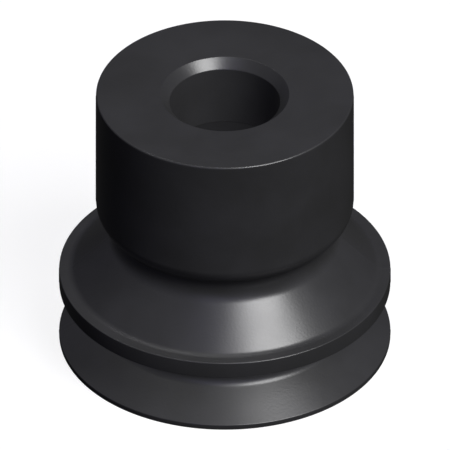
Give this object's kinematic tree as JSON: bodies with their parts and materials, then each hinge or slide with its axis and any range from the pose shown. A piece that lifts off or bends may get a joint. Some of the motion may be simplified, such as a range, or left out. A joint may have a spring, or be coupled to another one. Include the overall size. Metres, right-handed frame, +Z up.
{
  "type": "bellows suction cup",
  "caption": "Round bellows suction cup moulded in rubber, with a thick neck and nipple bore, a hinge groove, a thick-rimmed fold, a waist and a thin sealing lip.",
  "frame": {"origin": "centre of the sealing lip's edge, on the surface that the cup rests on", "axes": "+Z up the cup's axis, from the sealing lip to the neck; the part is round, so X and Y are free"},
  "size_m": [0.018, 0.018, 0.016],
  "materials": {
    "rubber": "black moulded rubber, semi-matt"
  },
  "bodies": {
    "root": {"bellows_cup": "rubber"}
  },
  "joints": []
}
